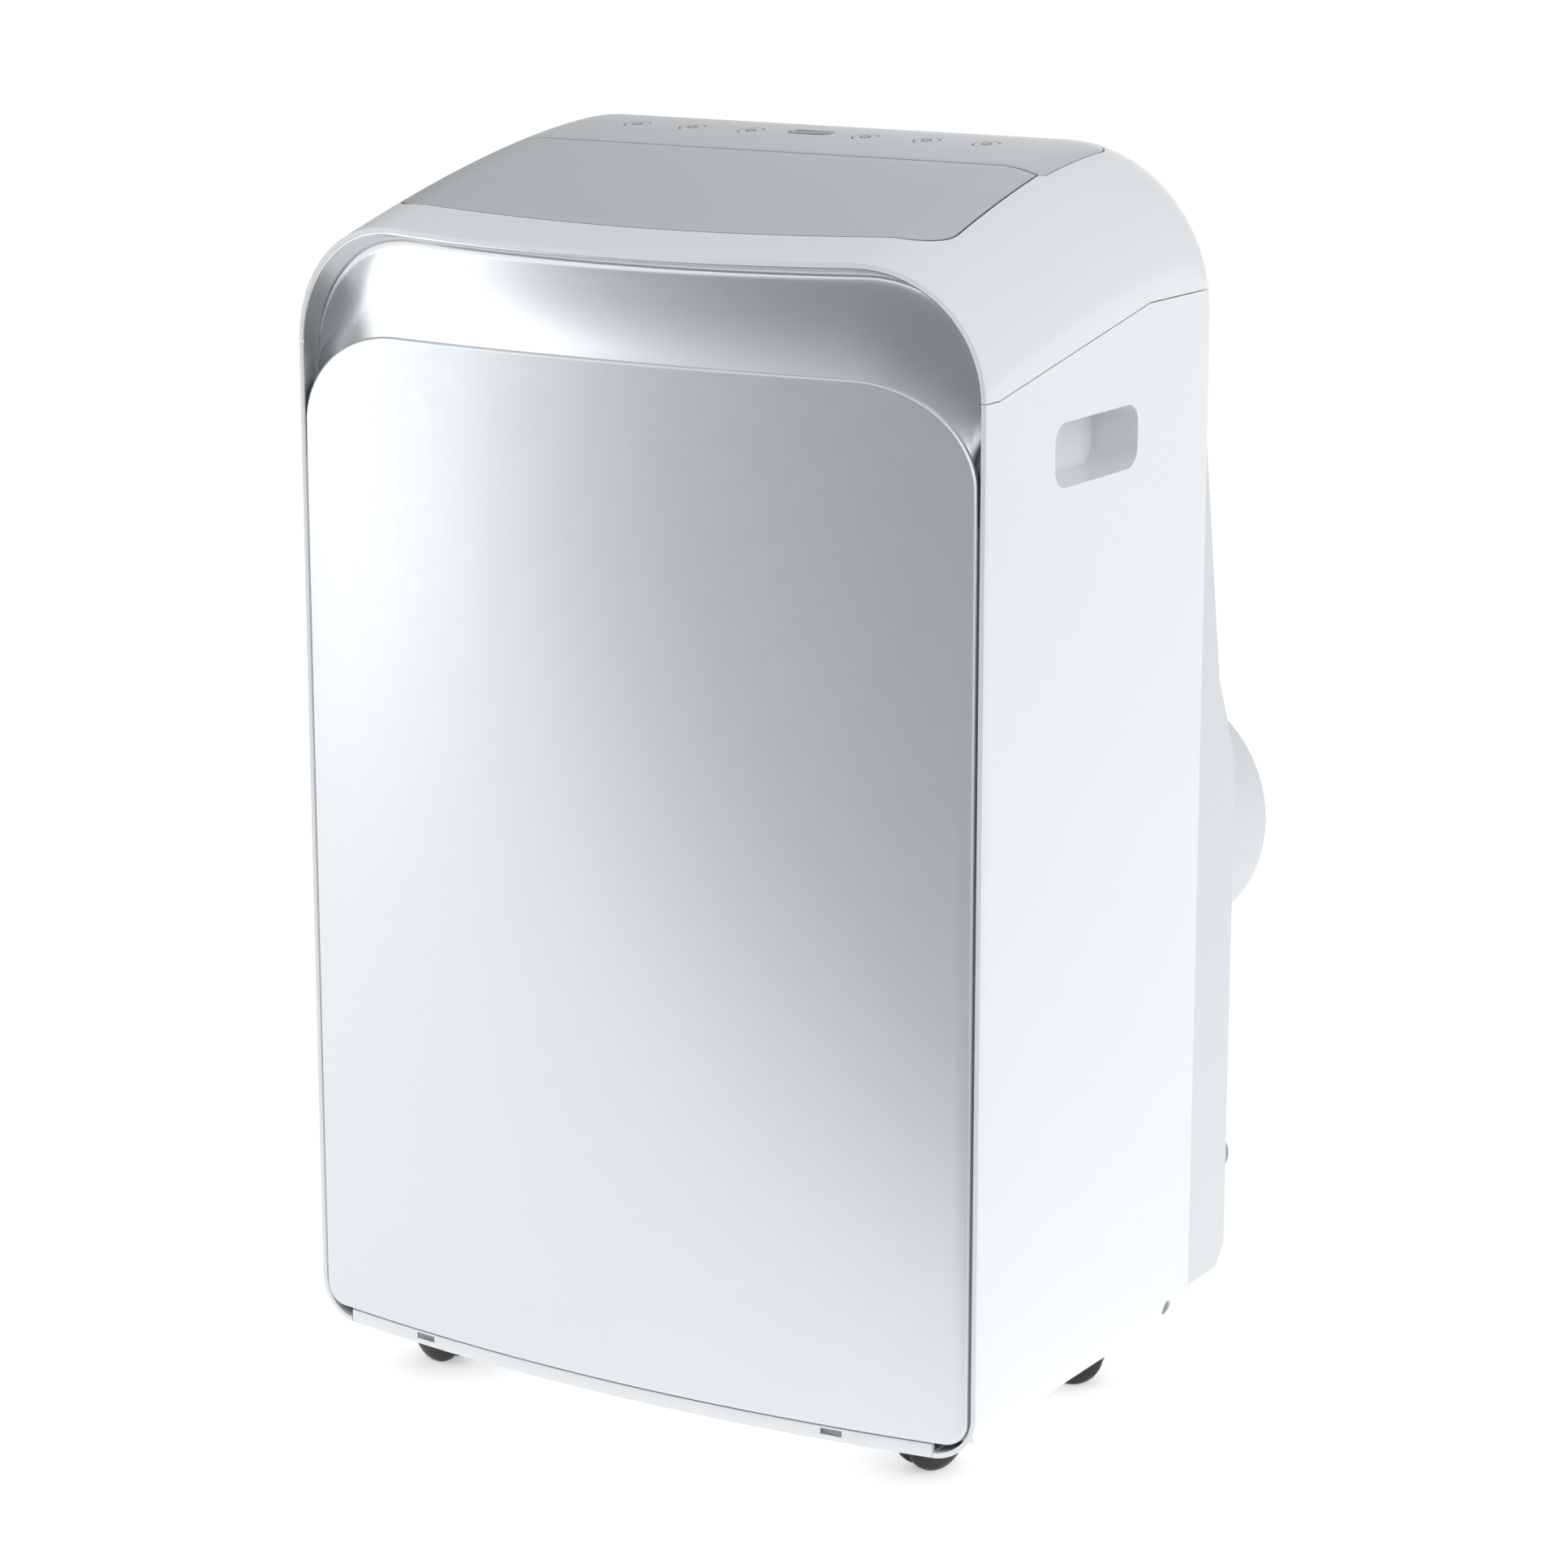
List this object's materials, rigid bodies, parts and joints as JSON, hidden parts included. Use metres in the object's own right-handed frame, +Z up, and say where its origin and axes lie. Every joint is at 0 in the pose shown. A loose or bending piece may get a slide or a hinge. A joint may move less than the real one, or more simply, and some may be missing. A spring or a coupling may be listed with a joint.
{
  "type": "portable air conditioner",
  "caption": "Floor-standing portable air conditioner with a bowed front panel, swinging top louvre, side grip pockets, rear intake grilles, exhaust outlet and swivel casters.",
  "frame": {"origin": "on the floor, under the centre of the bounding box", "axes": "+Z up; the front panel faces -Y; +X is to the right of a person who faces the front panel"},
  "size_m": [0.467, 0.397, 0.765],
  "materials": {
    "white_gloss": "gloss",
    "pearl": "pearl gloss",
    "silver": "silver paint, gloss",
    "key_grey": "satin",
    "display_black": "gloss",
    "dark_plastic": "satin",
    "grey_plastic": "satin",
    "rubber": "matte",
    "zinc": "zinc plated",
    "fins": "finned",
    "copper": "drawn copper tube",
    "black_paint": "satin",
    "filter_net": "woven net"
  },
  "bodies": {
    "cabinet": {"top_shell": "white_gloss", "right_side_panel": "white_gloss", "left_side_panel": "white_gloss", "right_side_screw": "zinc", "left_side_screw": "zinc", "front_frame": "silver", "front_panel": "pearl", "air_outlet_duct": "white_gloss", "louvre_motor": "zinc", "control_panel": "pearl", "display_window": "display_black", "control_box": "grey_plastic", "rear_casing": "white_gloss", "exhaust_collar": "white_gloss", "cord_gland": "dark_plastic", "cord_hook_upper": "white_gloss", "cord_hook_lower": "white_gloss", "plug_holder": "white_gloss", "base_tray": "grey_plastic", "upper_blower_housing": "grey_plastic", "upper_fan_motor": "zinc", "lower_blower_housing": "grey_plastic", "lower_fan_motor": "zinc", "exhaust_duct": "grey_plastic", "drip_tray": "grey_plastic", "evaporator_coil": "fins", "condenser_coil": "fins", "compressor": "black_paint", "suction_pipe": "copper", "discharge_pipe": "copper"},
    "flap": {"louvre_flap": "pearl"},
    "vane_1": {"air_vane_1": "dark_plastic"},
    "vane_2": {"air_vane_2": "dark_plastic"},
    "vane_3": {"air_vane_3": "dark_plastic"},
    "vane_4": {"air_vane_4": "dark_plastic"},
    "vane_5": {"air_vane_5": "dark_plastic"},
    "link": {"vane_link": "dark_plastic"},
    "timer_button": {"timer_key": "key_grey"},
    "sleep_button": {"sleep_key": "key_grey"},
    "down_button": {"down_key": "key_grey"},
    "up_button": {"up_key": "key_grey"},
    "fan_button": {"fan_key": "key_grey"},
    "power_button": {"power_key": "key_grey"},
    "upper_fan": {"upper_blower_wheel": "dark_plastic"},
    "lower_fan": {"lower_blower_wheel": "dark_plastic"},
    "upper_intake": {"upper_grille": "white_gloss", "upper_filter": "filter_net"},
    "lower_intake": {"lower_grille": "white_gloss", "lower_filter": "filter_net"},
    "drain_knob": {"drain_cap": "grey_plastic"},
    "base_plug": {"base_drain_plug": "rubber"},
    "fork_front_right": {"caster_fork_front_right": "dark_plastic"},
    "wheels_front_right": {"caster_wheels_front_right": "rubber"},
    "fork_front_left": {"caster_fork_front_left": "dark_plastic"},
    "wheels_front_left": {"caster_wheels_front_left": "rubber"},
    "fork_rear_right": {"caster_fork_rear_right": "dark_plastic"},
    "wheels_rear_right": {"caster_wheels_rear_right": "rubber"},
    "fork_rear_left": {"caster_fork_rear_left": "dark_plastic"},
    "wheels_rear_left": {"caster_wheels_rear_left": "rubber"}
  },
  "joints": [
    {"name": "flap_hinge", "type": "hinge", "parent": "cabinet", "child": "flap", "pos_m": [0, -0.0572, 0.738], "axis": [-1, 0, 0], "range_deg": [0, 65]},
    {"name": "vane_1_turn", "type": "hinge", "parent": "cabinet", "child": "vane_1", "pos_m": [-0.136, -0.085, 0.706], "axis": [0, 1, 0], "range_deg": [-25, 25]},
    {"name": "vane_2_turn", "type": "hinge", "parent": "cabinet", "child": "vane_2", "pos_m": [-0.068, -0.085, 0.706], "axis": [0, 1, 0], "range_deg": [-25, 25]},
    {"name": "vane_3_turn", "type": "hinge", "parent": "cabinet", "child": "vane_3", "pos_m": [0, -0.085, 0.706], "axis": [0, 1, 0], "range_deg": [-25, 25]},
    {"name": "vane_4_turn", "type": "hinge", "parent": "cabinet", "child": "vane_4", "pos_m": [0.068, -0.085, 0.706], "axis": [0, 1, 0], "range_deg": [-25, 25]},
    {"name": "vane_5_turn", "type": "hinge", "parent": "cabinet", "child": "vane_5", "pos_m": [0.136, -0.085, 0.706], "axis": [0, 1, 0], "range_deg": [-25, 25]},
    {"name": "vane_link_slide", "type": "slide", "parent": "cabinet", "child": "link", "axis": [1, 0, 0], "range_m": [-0.006, 0.006]},
    {"name": "timer_press", "type": "slide", "parent": "cabinet", "child": "timer_button", "axis": [0, 0, -1], "range_m": [0, 0.0008], "stiffness_N_per_m": 400},
    {"name": "sleep_press", "type": "slide", "parent": "cabinet", "child": "sleep_button", "axis": [0, 0, -1], "range_m": [0, 0.0008], "stiffness_N_per_m": 400},
    {"name": "down_press", "type": "slide", "parent": "cabinet", "child": "down_button", "axis": [0, 0, -1], "range_m": [0, 0.0008], "stiffness_N_per_m": 400},
    {"name": "up_press", "type": "slide", "parent": "cabinet", "child": "up_button", "axis": [0, 0, -1], "range_m": [0, 0.0008], "stiffness_N_per_m": 400},
    {"name": "fan_press", "type": "slide", "parent": "cabinet", "child": "fan_button", "axis": [0, 0, -1], "range_m": [0, 0.0008], "stiffness_N_per_m": 400},
    {"name": "power_press", "type": "slide", "parent": "cabinet", "child": "power_button", "axis": [0, 0, -1], "range_m": [0, 0.0008], "stiffness_N_per_m": 400},
    {"name": "upper_fan_spin", "type": "hinge", "parent": "cabinet", "child": "upper_fan", "pos_m": [0, -0.095, 0.562], "axis": [0, 1, 0], "continuous": true},
    {"name": "lower_fan_spin", "type": "hinge", "parent": "cabinet", "child": "lower_fan", "pos_m": [0.044, -0.095, 0.172], "axis": [0, 1, 0], "continuous": true},
    {"name": "upper_intake_pull", "type": "slide", "parent": "cabinet", "child": "upper_intake", "axis": [0, 0.9869, 0.1615], "range_m": [0, 0.06]},
    {"name": "lower_intake_pull", "type": "slide", "parent": "cabinet", "child": "lower_intake", "axis": [0, 1, 0], "range_m": [0, 0.06]},
    {"name": "drain_cap_pull", "type": "slide", "parent": "cabinet", "child": "drain_knob", "axis": [0, 1, 0], "range_m": [0, 0.03]},
    {"name": "base_plug_pull", "type": "slide", "parent": "cabinet", "child": "base_plug", "axis": [0, 0, -1], "range_m": [0, 0.02]},
    {"name": "front_right_swivel", "type": "hinge", "parent": "cabinet", "child": "fork_front_right", "pos_m": [0.165, -0.128, 0.05], "axis": [0, 0, 1], "continuous": true},
    {"name": "front_right_roll", "type": "hinge", "parent": "fork_front_right", "child": "wheels_front_right", "pos_m": [0.17007, -0.11712, 0.02], "axis": [-0.9063, 0.4226, 0], "continuous": true},
    {"name": "front_left_swivel", "type": "hinge", "parent": "cabinet", "child": "fork_front_left", "pos_m": [-0.165, -0.128, 0.05], "axis": [0, 0, 1], "continuous": true},
    {"name": "front_left_roll", "type": "hinge", "parent": "fork_front_left", "child": "wheels_front_left", "pos_m": [-0.17682, -0.12592, 0.02], "axis": [-0.1736, -0.9848, 0], "continuous": true},
    {"name": "rear_right_swivel", "type": "hinge", "parent": "cabinet", "child": "fork_rear_right", "pos_m": [0.165, 0.045, 0.05], "axis": [0, 0, 1], "continuous": true},
    {"name": "rear_right_roll", "type": "hinge", "parent": "fork_rear_right", "child": "wheels_rear_right", "pos_m": [0.17628, 0.0491, 0.02], "axis": [-0.342, 0.9397, 0], "continuous": true},
    {"name": "rear_left_swivel", "type": "hinge", "parent": "cabinet", "child": "fork_rear_left", "pos_m": [-0.165, 0.045, 0.05], "axis": [0, 0, 1], "continuous": true},
    {"name": "rear_left_roll", "type": "hinge", "parent": "fork_rear_left", "child": "wheels_rear_left", "pos_m": [-0.1691, 0.05628, 0.02], "axis": [-0.9397, -0.342, 0], "continuous": true}
  ],
  "couplings": [
    {"joint": "vane_1_turn", "follows": "vane_link_slide", "rad_per_m": -71.43},
    {"joint": "vane_2_turn", "follows": "vane_link_slide", "rad_per_m": -71.43},
    {"joint": "vane_3_turn", "follows": "vane_link_slide", "rad_per_m": -71.43},
    {"joint": "vane_4_turn", "follows": "vane_link_slide", "rad_per_m": -71.43},
    {"joint": "vane_5_turn", "follows": "vane_link_slide", "rad_per_m": -71.43}
  ]
}
